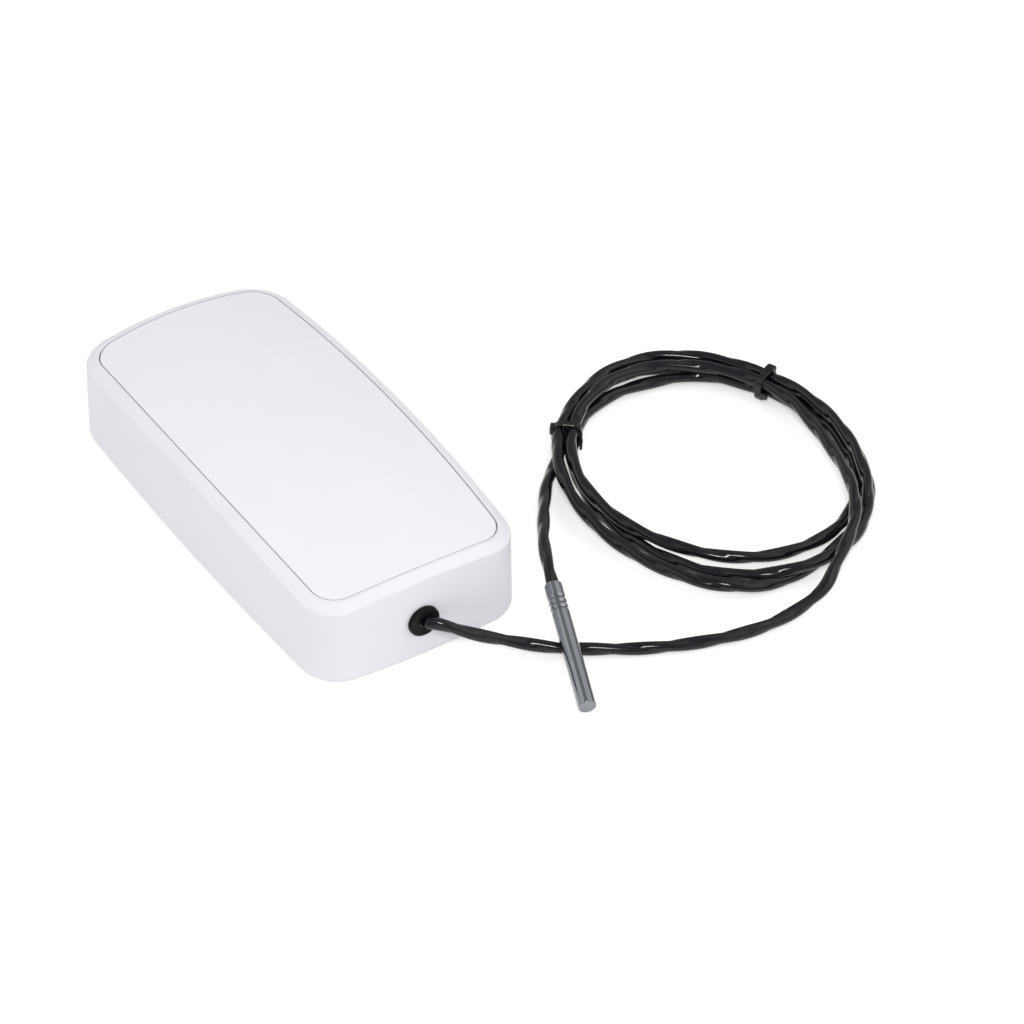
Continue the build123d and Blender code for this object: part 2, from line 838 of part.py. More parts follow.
def edge_is_outside(edge, width, height):
    """True for an edge of the strap's outer face."""
    box_ = edge.bounding_box()
    reach_x = max(abs(box_.min.X), abs(box_.max.X))
    reach_z = max(abs(box_.min.Z), abs(box_.max.Z))
    return reach_x > width / 2 + 0.5 or reach_z > height / 2 + 0.5


def tie_head():
    """The tie's locking head, with the trimmed end of the strap below it."""
    head = Box(tie_head_width, tie_head_length, tie_head_height)
    head = fillet(head.edges(), 0.5)
    tail = Pos(0, 0, -tie_head_height / 2 - tie_tail / 2 + 0.5)
    return head + tail * Box(tie_thickness, tie_width - 0.3, tie_tail)


def make_inner_tie():
    """Cable tie behind the grommet that keeps a pull off the plug."""
    side = cable_diameter + 2 * bore_gap
    strap = tie_strap(side, side, side / 2 - 0.01)
    head = Pos(0, 0, side / 2 + tie_thickness / 2 + tie_head_width / 2 - 0.3) * Rot(0, 90, 0) * tie_head()
    behind = wall_face_y + wall_depth + seat_gap + grommet_inner_thickness
    return Pos(grommet_x, behind + tie_width / 2 + 1.5, grommet_z) * (strap + head)


def coil_middle(angle):
    """Middle of the coil's ring at an angle, and the ring's outward direction there in degrees."""
    along_x = cos(radians(angle))
    along_y = sin(radians(angle))
    outer_x = coil_x + coil_half_width * along_x
    outer_y = coil_y + coil_half_length * along_y
    inner_x = coil_hole_x + coil_hole_half_width * along_x
    inner_y = coil_hole_y + coil_hole_half_length * along_y
    heading = degrees(atan2(coil_half_width * along_y, coil_half_length * along_x))
    return (outer_x + inner_x) / 2, (outer_y + inner_y) / 2, heading


neck_low = tie_thickness + seat_gap
neck_height = coil_height - neck_low - neck_drop


def at_tie(angle):
    """Place on the coil for a tie: local X points outwards and local Y along the turns."""
    x, y, heading = coil_middle(angle)
    return Pos(x, y, neck_low + neck_height / 2) * Rot(0, 0, heading)


def oval(half_x, half_y):
    """An oval of four tangent arcs that meet at 45 degrees."""
    across = cos(radians(45))
    difference = (half_y - half_x) / (2 * across - 1)
    end_radius = half_y - difference * across
    meet_x = end_radius * across
    meet_y = half_y - end_radius + end_radius * across
    arcs = [
        ThreePointArc((meet_x, -meet_y), (half_x, 0), (meet_x, meet_y)),
        ThreePointArc((meet_x, meet_y), (0, half_y), (-meet_x, meet_y)),
        ThreePointArc((-meet_x, meet_y), (-half_x, 0), (-meet_x, -meet_y)),
        ThreePointArc((-meet_x, -meet_y), (0, -half_y), (meet_x, -meet_y)),
    ]
    return make_face(arcs)


def make_cable_coil():
    """Outer shape of the coiled turns, drawn in where the two ties hold them."""
    outer = Pos(coil_x, coil_y, 0) * oval(coil_half_width, coil_half_length)
    hole = Pos(coil_hole_x, coil_hole_y, 0) * oval(coil_hole_half_width, coil_hole_half_length)
    ring = extrude(outer - hole, coil_height)
    rims = ring.edges().filter_by(lambda edge: edge.length > 40)
    ring = fillet(rims, coil_round)
    outline = Plane.XZ * RectangleRounded(neck_width, neck_height, neck_round)
    keep = extrude(outline, 2 * tie_width, both=True)
    around = Box(4 * neck_width, tie_head_length + 4 * seat_gap, 4 * coil_height)
    for angle in tie_angles.values():
        ring = ring - at_tie(angle) * (around - keep)
    return ring


def make_coil_tie(angle):
    """Cable tie round the coil, with its head on the inner side."""
    strap = tie_strap(neck_width + 2 * seat_gap, neck_height + 2 * seat_gap, neck_round + seat_gap)
    inward = neck_width / 2 + seat_gap + tie_thickness + tie_head_width / 2 - 0.5
    return at_tie(angle) * (strap + Pos(-inward, 0, 0.6) * tie_head())


def route_radii(points):
    """Radius for each corner of a route: as large as its two runs allow."""
    radii = []
    for before, corner, after in zip(points, points[1:], points[2:]):
        arriving = Vector(*corner) - Vector(*before)
        leaving = Vector(*after) - Vector(*corner)
        half_turn = radians(arriving.get_angle(leaving)) / 2
        radii.append(0.45 * min(arriving.length, leaving.length) / tan(half_turn))
    return radii


def cable_along(points):
    """The cable along a route, and its centre line's length."""
    radii = route_radii(points)
    print("radii", [round(radius, 1) for radius in radii])
    path = FilletPolyline(*points, radius=radii)
    tube = tube_along(path, cable_radius)
    print("length", round(path.length, 1))
    return tube


def make_cable_lead(grommet, coil):
    """Cable from the grommet, under the probe, to the side of the coil."""
    start = Vector(grommet_x, cable_start_y, grommet_z)
    rest = [beyond_end(point) for point in lead_rest]
    leaving = (Vector(*rest[0]) - start).normalized()
    inside = start - leaving * cable_diameter / 2
    route = [(inside.X, inside.Y, inside.Z)] + rest
    behind = box(-case_width, case_width, cable_start_y, 0, 0, case_height)
    return main_body(cable_along(route) - behind - grommet - coil)


def probe_direction():
    """Unit vector along the probe, from its tip to the end where the cable enters."""
    return (Vector(*probe_end) - Vector(*probe_tip)).normalized()


def on_probe(distance):
    """Point on the probe's axis at a distance from the end where the cable enters."""
    return Vector(*beyond_end(probe_tip)) + probe_direction() * (probe_length - distance)


def probe_frame():
    """Plane at the cable's end of the probe, with its Z towards the tip."""
    return Plane(origin=on_probe(0), x_dir=(0, 0, 1), z_dir=probe_direction() * -1)


def make_cable_tail(coil):
    """Cable from inside the probe's collar up and across to the coil."""
    inside = on_probe(cable_in_probe)
    straight = on_probe(-cable_straight)
    points = [(inside.X, inside.Y, inside.Z), (straight.X, straight.Y, straight.Z)]
    points += [beyond_end(point) for point in tail_rest]
    return cable_along(points) - coil


def probe_inner_radius():
    """Radius of the sheath's plain bore."""
    return probe_radius - probe_wall


crimp_length = (2 * crimp_count + 1) * crimp_pitch / 2
crimp_end = collar_length + crimp_length


def make_probe_tube():
    """Drawn steel sheath: rolled rim, collar, rolled crimps and a flat closed tip."""
    outer = [(probe_radius, 0.0), (probe_radius, collar_length)]
    for number in range(crimp_count + 1):
        groove = collar_length + crimp_pitch * (number + 0.4)
        outer.append((probe_radius - crimp_depth, groove))
        if number < crimp_count:
            outer.append((probe_radius + crimp_bulge, groove + crimp_pitch / 2))
    outer.append((probe_radius, crimp_end + 0.6))
    outer.append((probe_radius, probe_length))
    narrow = bore_radius
    wide = probe_inner_radius()
    inner = [
        (0.0, probe_length),
        (0.0, probe_length - probe_tip_wall),
        (wide, probe_length - probe_tip_wall),
        (wide, crimp_end + 1.0),
        (narrow, crimp_end),
        (narrow, collar_length + 0.2),
        (wide, collar_length - 0.8),
        (wide, 1.5),
        (narrow, 0.8),
        (narrow, 0.0),
    ]
    profile = make_face(Polyline(*outer, *inner, close=True))
    waves = [p for p in profile.vertices() if collar_length - 0.1 < p.Y < crimp_end + 0.7]
    waves = [p for p in waves if p.X > probe_radius - crimp_depth - 0.01]
    profile = fillet(waves, 0.35)
    rim = [p for p in profile.vertices() if abs(p.X - probe_radius) < 0.01 and p.Y < 0.01]
    profile = fillet(rim, collar_round)
    tip = [p for p in profile.vertices() if abs(p.X - probe_radius) < 0.01 and p.Y > probe_length - 0.01]
    profile = fillet(tip, probe_tip_round)
    sheath = revolve(profile, Axis.Y)
    return probe_frame().location * Rot(90, 0, 0) * sheath


element_start = probe_length - probe_tip_wall - element_setback - element_length


def sensor_lead_places():
    """The two leads, as offsets from the probe's axis."""
    return [-sensor_lead_pitch / 2, sensor_lead_pitch / 2]


def make_sensor_element():
    """Sealed bead in the tip, flat where its leads enter."""
    bead = Pos(0, 0, element_start + element_length / 2) * Cylinder(element_diameter / 2, element_length)
    bead = fillet(bead.faces().sort_by(Axis.Z)[-1].edges(), element_diameter / 3)
    return probe_frame().location * bead


def make_sensor_leads():
    """Two wires from the cable's end to the bead."""
    length = element_start - cable_in_probe
    middle = cable_in_probe + length / 2
    wire = Cylinder(sensor_lead_diameter / 2, length)
    return [probe_frame().location * Pos(0, offset, middle) * wire for offset in sensor_lead_places()]


def make_probe_potting(element, leads):
    """Resin that fills the sheath round the bead and its leads."""
    radius = probe_inner_radius() - bore_gap
    length = probe_length - probe_tip_wall - bore_gap - cable_in_probe
    filling = Pos(0, 0, cable_in_probe + length / 2) * Cylinder(radius, length)
    potting = probe_frame().location * filling
    for piece in [element] + leads:
        potting = potting - piece
    return potting


def save(name, shape):
    """Write one node, as one solid or as a group of like solids."""
    solids = shape if isinstance(shape, list) else [shape]
    loose = [solid for item in solids for solid in item.solids()]
    body = loose[0] if len(loose) == 1 else Compound(loose)
    export_step(body, f"parts/{name}.step")
    print(name, len(loose), round(sum(solid.volume for solid in loose), 1))


def main():
    """Build and write every piece."""
    os.makedirs("parts", exist_ok=True)
    save("upper_shell", make_upper_shell())
    save("top_panel", make_top_panel())
    save("base_plate", make_base_plate())
    save("base_seal", make_base_seal())
    save("case_screws", make_case_screws())
    save("threaded_inserts", make_threaded_inserts())
    save("circuit_board", make_circuit_board())
    save("board_screws", make_board_screws())
    save("microcontroller", make_microcontroller())
    save("memory_chip", make_memory_chip())
    save("clock_crystal", make_clock_crystal())
    save("radio_board", make_radio_board())
    save("radio_shield", make_radio_shield())
    save("antenna", make_antenna())
    save("supply_capacitors", make_supply_capacitors())
    save("battery_holder", make_battery_holder())
    save("battery_cell_1", make_battery_cell(0))
    save("battery_cell_2", make_battery_cell(1))
    save("contact_negative", make_contact_negative())
    save("contact_positive", make_contact_positive())
    save("contact_bridge", make_contact_bridge())
    save("sensor_socket", make_sensor_socket())
    save("sensor_plug", make_sensor_plug())
    save("plug_wires", make_plug_wires())
    save("inner_cable", make_inner_cable())
    save("inner_tie", make_inner_tie())
    grommet = make_cable_grommet()
    save("cable_grommet", grommet)
    coil = make_cable_coil()
    save("cable_coil", coil)
    for side, angle in tie_angles.items():
        save(f"coil_tie_{side}", make_coil_tie(angle))
    save("cable_lead", make_cable_lead(grommet, coil))
    save("cable_tail", make_cable_tail(coil))
    save("probe_tube", make_probe_tube())
    element = make_sensor_element()
    leads = make_sensor_leads()
    save("sensor_element", element)
    save("sensor_leads", leads)
    save("probe_potting", make_probe_potting(element, leads))


main()
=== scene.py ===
"""The temperature data logger: its solids dressed, with the turns of its cable and its coil ties."""
import json
import math

import bmesh
import bpy
from mathutils import Matrix, Vector

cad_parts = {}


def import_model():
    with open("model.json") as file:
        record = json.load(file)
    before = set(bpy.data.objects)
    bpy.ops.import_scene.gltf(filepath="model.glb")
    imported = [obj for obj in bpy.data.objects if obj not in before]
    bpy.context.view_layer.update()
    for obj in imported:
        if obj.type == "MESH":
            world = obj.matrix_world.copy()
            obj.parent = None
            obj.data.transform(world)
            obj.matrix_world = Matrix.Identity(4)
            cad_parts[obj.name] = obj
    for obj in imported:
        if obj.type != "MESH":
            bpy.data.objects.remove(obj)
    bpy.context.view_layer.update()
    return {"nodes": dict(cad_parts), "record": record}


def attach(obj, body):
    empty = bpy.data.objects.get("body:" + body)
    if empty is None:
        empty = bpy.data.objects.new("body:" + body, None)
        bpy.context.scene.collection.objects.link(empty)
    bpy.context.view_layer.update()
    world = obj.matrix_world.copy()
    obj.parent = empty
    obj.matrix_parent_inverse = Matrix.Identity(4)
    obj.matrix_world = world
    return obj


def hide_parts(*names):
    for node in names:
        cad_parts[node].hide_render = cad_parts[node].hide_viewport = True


MM = 0.001
UP = Vector((0, 0, 1))

# Camera: place in millimetres, direction in degrees, focal length in pixels of the frame,
# sensor in millimetres and far limit in metres
CAMERA_PLACE = (-603.9, -1061.6, 1032.1)
CAMERA_TURN = -33.04
CAMERA_TILT = 40.21
CAMERA_ROLL = 0.4
FOCAL_PIXELS = 4746.55
FRAME_PIXELS = 1024
SENSOR = 36.0
FAR_LIMIT = 100

# Cable, in millimetres: the route from the grommet to the coil and from the coil to the probe,
# and the section over its two cores, which turns once in each pitch
CABLE_EXIT = (-2.0, -85.0, 16.0)
LEAD = [
    (0.9, -87.6, 15.8),
    (3.7, -89.7, 14.8),
    (8.0, -92.3, 12.6),
    (14.1, -94.8, 9.4),
    (21.5, -97.7, 6.2),
    (28.4, -102.6, 4.6),
    (35.9, -108.1, 3.6),
    (47.0, -113.9, 2.4),
    (60.3, -122.1, 2.4),
    (78.4, -129.6, 2.4),
    (95.5, -133.6, 2.4),
    (107.7, -133.4, 2.4),
    (116.5, -132.8, 3.8),
    (124.4, -131.8, 6.4),
    (130.2, -128.0, 9.1),
]
TAIL = [
    (92.3, -22.2, 2.8),
    (84.5, -29.6, 4.0),
    (75.9, -37.6, 5.6),
    (68.4, -47.8, 7.8),
    (61.2, -58.3, 10.2),
    (54.3, -68.7, 12.6),
]
PROBE_TIP = Vector((27.8, -135.6, 3.0))
PROBE_END = Vector((44.4, -89.55, 13.5))
CABLE_IN_PROBE = 13.0
CABLE_OUT_OF_PROBE = 6.0
LOBE_PITCH = 36.0
CORE_RADIUS = 1.8
CORE_OFFSET = 0.42
SECTION_STEPS = 12
LINE_RESOLUTION = 12
RING_STEP = 1.2

# Coil, in millimetres: its middle line is an ellipse. Each row of LANES is an angle along the
# cable in degrees, one step apart, how far outwards the cable lies there, and its height
COIL_X = 129.0
COIL_Y = -57.75
COIL_HALF_WIDTH = 45.2
COIL_HALF_LENGTH = 55.8
COIL_STEP = 20.0
LANES = [
    (-66.0, 4.9, 11.5),
    (-46.0, -2.1, 12.3),
    (-26.0, -5.8, 9.2),
    (-6.0, -5.9, 7.9),
    (14.0, -2.8, 7.4),
    (34.0, -2.2, 7.6),
    (54.0, -3.5, 8.3),
    (74.0, -3.5, 8.4),
    (94.0, -3.3, 8.5),
    (114.0, -3.2, 8.6),
    (134.0, -2.2, 7.6),
    (154.0, -0.6, 7.9),
    (174.0, -0.2, 7.7),
    (194.0, -1.4, 6.5),
    (214.0, -4.2, 5.1),
    (234.0, -5.3, 4.3),
    (254.0, -5.7, 3.8),
    (274.0, -4.9, 3.7),
    (294.0, -1.8, 3.8),
    (314.0, 0.6, 4.1),
    (334.0, 1.3, 3.8),
    (354.0, 0.9, 3.8),
    (374.0, 0.6, 3.3),
    (394.0, -2.0, 3.7),
    (414.0, -2.4, 3.6),
    (434.0, -5.7, 3.1),
    (454.0, -5.1, 3.1),
    (474.0, -3.6, 3.1),
    (494.0, -2.2, 3.4),
    (514.0, -1.9, 2.5),
    (534.0, -1.6, 2.3),
    (554.0, -0.9, 2.3),
    (574.0, 0.2, 2.3),
    (594.0, 1.8, 2.3),
    (614.0, 5.3, 5.6),
    (634.0, 7.3, 7.1),
    (654.0, 6.6, 6.3),
    (674.0, 4.5, 7.3),
    (694.0, 2.6, 7.8),
    (714.0, 2.6, 7.5),
    (734.0, 3.0, 7.1),
    (754.0, 2.0, 7.6),
    (774.0, 2.9, 7.5),
    (794.0, 3.3, 7.3),
    (814.0, 2.4, 7.2),
    (834.0, 0.8, 7.0),
    (854.0, 2.0, 7.6),
    (874.0, 4.3, 8.0),
    (894.0, 5.8, 7.1),
    (914.0, 6.7, 5.4),
    (934.0, 8.3, 5.2),
    (954.0, 11.0, 5.2),
    (974.0, 7.5, 2.6),
    (994.0, 2.4, 2.3),
    (1014.0, 2.0, 2.3),
    (1034.0, 5.2, 2.3),
    (1054.0, 5.0, 2.3),
    (1074.0, 5.0, 2.3),
    (1094.0, 4.0, 2.9),
    (1114.0, 2.1, 3.4),
    (1134.0, 2.7, 2.4),
    (1154.0, 2.5, 2.6),
    (1174.0, 2.3, 2.8),
    (1194.0, 2.2, 3.1),
    (1214.0, 2.1, 3.4),
]

# Coil ties, in millimetres: half sizes of the strap's loop and of its section, the head's length,
# and the size of the strap's cut end with the part of it inside the strap. Then for each tie its
# angle in degrees, the middle and size of its head outwards and upwards, and the place of its
# cut end with the side it points to
STRAP_HALF_WIDTH = 4.75
STRAP_HALF_HEIGHT = 4.7
STRAP_MIDDLE = 5.55
STRAP_ROUND = 3.2
STRAP_STEPS = 8
STRAP_ACROSS = 1.3
STRAP_DEEP = 0.55
STRAP_EDGE = 0.22
HEAD_LENGTH = 3.6
HEAD_EDGE = 0.7
CUT_END = (1.0, 3.6, 2.2)
CUT_END_IN_STRAP = 1.0
EDGE_SEGMENTS = 2
TIES = {
    "tie_right": (26.5, (2.9, 10.3), (3.4, 2.2), (-4.8, 4.4), -1),
    "tie_left": (136.5, (4.9, 7.8), (2.2, 3.4), (-5.0, 3.4), 1),
}

# Finishes by record slot: two near colours, patches per metre, range of roughness,
# grain per metre, relief in millimetres, and what else the surface needs
METAL = {"metal": 1}
# Painted shade: the plastics' colour is darkened to this fraction in grooves and seams
PAINTED_GROOVE_SHADE = {"crease": 0.92}
FINISHES = {
    "case_plastic": ((0.81, 0.825, 0.865), (0.83, 0.845, 0.885), 40, (0.36, 0.5), 2600, 0.03, PAINTED_GROOVE_SHADE),
    "panel_plastic": ((0.86, 0.87, 0.9), (0.875, 0.885, 0.915), 40, (0.36, 0.5), 2600, 0.03, PAINTED_GROOVE_SHADE),
    "seal_foam": ((0.012, 0.012, 0.013), (0.03, 0.03, 0.032), 900, (0.85, 1.0), 2200, 0.3, {}),
    "screw_steel": ((0.5, 0.51, 0.52), (0.62, 0.63, 0.64), 400, (0.22, 0.38), 3000, 0.01, METAL),
    "insert_brass": ((0.6, 0.42, 0.17), (0.72, 0.54, 0.25), 400, (0.25, 0.4), 3000, 0.01, METAL),
    "board_green": ((0.008, 0.08, 0.03), (0.014, 0.12, 0.045), 300, (0.25, 0.35), 1500, 0.02, {}),
    "chip_black": ((0.01, 0.01, 0.011), (0.018, 0.018, 0.02), 500, (0.5, 0.65), 4000, 0.02, {}),
    "crystal_steel": ((0.58, 0.59, 0.6), (0.68, 0.69, 0.7), 500, (0.2, 0.32), 2500, 0.005, METAL),
    "shield_steel": ((0.55, 0.56, 0.57), (0.66, 0.67, 0.68), 300, (0.28, 0.42), 2500, 0.005, METAL),
    "antenna_copper": ((0.55, 0.25, 0.13), (0.7, 0.36, 0.2), 500, (0.2, 0.35), 2500, 0.005, METAL),
    "capacitor_sleeve": ((0.01, 0.014, 0.045), (0.016, 0.022, 0.06), 400, (0.25, 0.35), 2000, 0.01, {}),
    "holder_plastic": ((0.012, 0.012, 0.014), (0.02, 0.02, 0.022), 200, (0.4, 0.55), 2600, 0.03, {}),
    "cell_jacket": ((0.03, 0.06, 0.12), (0.05, 0.09, 0.16), 200, (0.22, 0.32), 2000, 0.005, {}),
    "contact_steel": ((0.6, 0.6, 0.58), (0.7, 0.7, 0.68), 400, (0.2, 0.34), 2500, 0.005, METAL),
    "connector_white": ((0.66, 0.64, 0.57), (0.72, 0.7, 0.63), 300, (0.35, 0.5), 2600, 0.02, {}),
    "wire_insulation": ((0.3, 0.012, 0.01), (0.38, 0.02, 0.016), 300, (0.28, 0.4), 2600, 0.01, {}),
    "cable_black": (
        (0.003, 0.0038, 0.006), (0.006, 0.0072, 0.0105), 250,
        (0.1, 0.17), 1400, 0.012, {"specular": 0.36},
    ),
    "tie_black": (
        (0.004, 0.004, 0.005), (0.007, 0.007, 0.009), 300,
        (0.16, 0.26), 1600, 0.015, {"specular": 0.4},
    ),
    "grommet_rubber": (
        (0.004, 0.004, 0.005), (0.007, 0.007, 0.008), 400,
        (0.45, 0.6), 2600, 0.03, {"specular": 0.12},
    ),
    "probe_steel": ((0.24, 0.252, 0.27), (0.27, 0.283, 0.3), 250, (0.07, 0.13), 1800, 0.004, METAL),
    "element_epoxy": ((0.008, 0.008, 0.008), (0.015, 0.015, 0.015), 600, (0.2, 0.35), 2600, 0.02, {}),
    "lead_insulation": ((0.55, 0.52, 0.44), (0.62, 0.59, 0.5), 400, (0.25, 0.4), 2600, 0.01, {}),
    "potting_resin": ((0.014, 0.012, 0.01), (0.025, 0.021, 0.017), 400, (0.35, 0.55), 1800, 0.03, {}),
}

# What all finishes share: the range that noise gives, how fine it is, the width in millimetres
# of the grooves where shade is painted into the colour, the openness between which it is, and the relief's
# strength
NOISE_RANGE = (0.3, 0.7)
PATCH_DETAIL = 3.0
GRAIN_DETAIL = 2.0
PAINTED_SHADE_REACH = 1.6
PAINTED_SHADE_RANGE = (0.2, 0.85)
RELIEF_STRENGTH = 0.5

# Floor: half its width in metres, its colour, and the light added where it is seen directly,
# mirrored or through something
FLOOR_REACH = 6
FLOOR_COLOUR = (0.8, 0.8, 0.8, 1)
FLOOR_GLOW = 0.45

# Light: a surround that is bright at both sides. It is dark in a band over the object from the
# front to the back and in a part behind it, and less bright low down, as a studio's is.
# The camera sees it white. Each lamp has its place, target and size in metres, and its watts
ACROSS_BAND = (0.8383, -0.5452, 0.0)
BAND_EDGES = (0.35, 0.6)
DARK_PART = (0.62, 0.45, 0.64)
PART_EDGES = (0.6, 0.84)
LOW_EDGES = (0.05, 0.5)
BRIGHT = 1.1
LOW = 0.62
DARK = 0.45
WHITE = 1
LAMPS = {
    "side": ((1.1, -0.3, 1.35), (0.0, -0.05, 0.0), 1.8, 5.6),
    "spark": ((-0.53, -1.03, 1.24), (0.1, -0.06, 0.0), 0.3, 9.5),
}


def camera():
    """The camera that sees the object as the photograph does."""
    turn = math.radians(CAMERA_TURN)
    tilt = math.radians(CAMERA_TILT)
    roll = math.radians(CAMERA_ROLL)
    back = Vector((
        math.sin(turn) * math.cos(tilt),
        -math.cos(turn) * math.cos(tilt),
        math.sin(tilt),
    ))
    forward = -back
    right = forward.cross(UP).normalized()
    up = right.cross(forward)
    rolled_right = math.cos(roll) * right + math.sin(roll) * up
    rolled_up = -math.sin(roll) * right + math.cos(roll) * up
    data = bpy.data.cameras.new("camera")
    data.sensor_width = SENSOR
    data.lens = FOCAL_PIXELS * SENSOR / FRAME_PIXELS
    data.clip_end = FAR_LIMIT
    cam = bpy.data.objects.new("camera", data)
    bpy.context.scene.collection.objects.link(cam)
    turned = Matrix((rolled_right, rolled_up, back)).transposed().to_4x4()
    cam.matrix_world = Matrix.Translation(Vector(CAMERA_PLACE) * MM) @ turned
    bpy.context.scene.camera = cam


def coil_outward(turn):
    """Direction straight out of the coil's middle line, at an angle in radians."""
    return Vector((COIL_HALF_LENGTH * math.cos(turn), COIL_HALF_WIDTH * math.sin(turn), 0)).normalized()


def coil_place(turn, widen=1):
    """Point of the coil's middle line, or of the same ellipse drawn wider."""
    x = COIL_X + COIL_HALF_WIDTH * widen * math.cos(turn)
    y = COIL_Y + COIL_HALF_LENGTH * widen * math.sin(turn)
    return Vector((x, y, 0))


def coil_points():
    """Control points of the coil's turns."""
    # At a control point the line lies at six eighths of that point and one eighth of each
    # neighbour, which is inside the ellipse, so all points are set outwards by this factor
    widen = 8 / (6 + 2 * math.cos(math.radians(COIL_STEP)))
    points = []
    for angle, offset, height in LANES:
        turn = math.radians(angle)
        place = coil_place(turn, widen) + coil_outward(turn) * offset
        points.append((place.x, place.y, height))
    return points


def strap_loop():
    """Points of the strap's middle line, outwards and upwards, each with its outward direction."""
    points = []
    for corner, (side_u, side_z) in enumerate(((1, 1), (-1, 1), (-1, -1), (1, -1))):
        for number in range(STRAP_STEPS + 1):
            turn = math.pi / 2 * (corner + number / STRAP_STEPS)
            out_u = math.cos(turn)
            out_z = math.sin(turn)
            u = side_u * (STRAP_HALF_WIDTH - STRAP_ROUND) + STRAP_ROUND * out_u
            z = STRAP_MIDDLE + side_z * (STRAP_HALF_HEIGHT - STRAP_ROUND) + STRAP_ROUND * out_z
            points.append((u, z, out_u, out_z))
    return points


def strap_section():
    """Outline of the strap, across and through it, with its edges broken."""
    corner = [(STRAP_ACROSS, STRAP_DEEP - STRAP_EDGE), (STRAP_ACROSS - STRAP_EDGE, STRAP_DEEP)]
    half = corner + [(-across, deep) for across, deep in reversed(corner)]
    return half + [(-across, -deep) for across, deep in half]


def rounded_block(shape, middle, size, edge):
    """A block with broken edges, added to the shape."""
    turned = Matrix.Translation(middle) @ Matrix.Diagonal((*size, 1))
    made = bmesh.ops.create_cube(shape, size=1, matrix=turned)
    edges = list(dict.fromkeys(each for corner in made["verts"] for each in corner.link_edges))
    bmesh.ops.bevel(shape, geom=edges, offset=edge, segments=EDGE_SEGMENTS, profile=0.5, affect="EDGES")


def strap(shape):
    """The closed strap, added to the shape."""
    rings = []
    for u, z, out_u, out_z in strap_loop():
        ring = []
        for across, deep in strap_section():
            ring.append(shape.verts.new((u + out_u * deep, across, z + out_z * deep)))
        rings.append(ring)
    for ring, following in zip(rings, rings[1:] + rings[:1]):
        for side, corner in enumerate(ring):
            beside = (side + 1) % len(ring)
            shape.faces.new((corner, ring[beside], following[beside], following[side]))


def across_coil(angle):
    """Matrix that places a tie on the coil: x outwards, y along the cable, angle in degrees."""
    turn = math.radians(angle)
    outward = coil_outward(turn)
    axes = Matrix((outward, UP.cross(outward), UP)).transposed().to_4x4()
    return Matrix.Translation(coil_place(turn)) @ axes


def tie(name, angle, head, head_size, cut_end, way):
    """A cable tie round the coil: strap, locking head and the strap's cut end."""
    shape = bmesh.new()
    strap(shape)
    rounded_block(shape, (head[0], 0, head[1]), (head_size[0], HEAD_LENGTH, head_size[1]), HEAD_EDGE)
    reach = STRAP_ACROSS + CUT_END[1] / 2 - CUT_END_IN_STRAP
    rounded_block(shape, (cut_end[0], way * reach, cut_end[1]), CUT_END, STRAP_EDGE)
    bmesh.ops.recalc_face_normals(shape, faces=shape.faces)
    mesh = bpy.data.meshes.new(name)
    shape.to_mesh(mesh)
    shape.free()
    mesh.transform(Matrix.Scale(MM, 4) @ across_coil(angle))
    piece = bpy.data.objects.new(name, mesh)
    bpy.context.scene.collection.objects.link(piece)
    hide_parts("coil_" + name)
    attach(piece, "root")
    return piece


def on_probe(distance):
    """Point on the probe's axis at a distance from the end where the cable enters."""
    return PROBE_END + (PROBE_TIP - PROBE_END).normalized() * distance


def cable_line():
    """Points along the cable's NURBS line, in metres and an even step apart."""
    in_probe = [tuple(on_probe(-CABLE_OUT_OF_PROBE)), tuple(on_probe(CABLE_IN_PROBE))]
    route = [CABLE_EXIT] + LEAD + coil_points() + TAIL + in_probe
    data = bpy.data.curves.new("cable_line", "CURVE")
    data.dimensions = "3D"
    data.resolution_u = LINE_RESOLUTION
    spline = data.splines.new("NURBS")
    spline.points.add(len(route) - 1)
    for point, place in zip(spline.points, route):
        point.co = (*(Vector(place) * MM), 1)
    spline.order_u = 3
    spline.use_endpoint_u = True
    line = bpy.data.objects.new("cable_line", data)
    bpy.context.scene.collection.objects.link(line)
    bpy.context.view_layer.update()
    mesh = bpy.data.meshes.new_from_object(line)
    places = [vertex.co.copy() for vertex in mesh.vertices]
    bpy.data.objects.remove(line)
    return even_steps(places, RING_STEP * MM)


def even_steps(places, step):
    """The same line with its points an equal step apart."""
    kept = [places[0]]
    left = step
    for start, end in zip(places, places[1:]):
        span = (end - start).length
        gone = left
        while gone <= span:
            kept.append(start.lerp(end, gone / span))
            gone += step
        left = gone - span
    kept.append(places[-1])
    return kept


def two_core_section():
    """Outline of the jacket over its two cores: two half circles with short flats between."""
    points = []
    for side in (1, -1):
        for number in range(SECTION_STEPS + 1):
            turn = math.pi * (number / SECTION_STEPS - side / 2)
            points.append((side * CORE_OFFSET + CORE_RADIUS * math.cos(turn), CORE_RADIUS * math.sin(turn)))
    return points


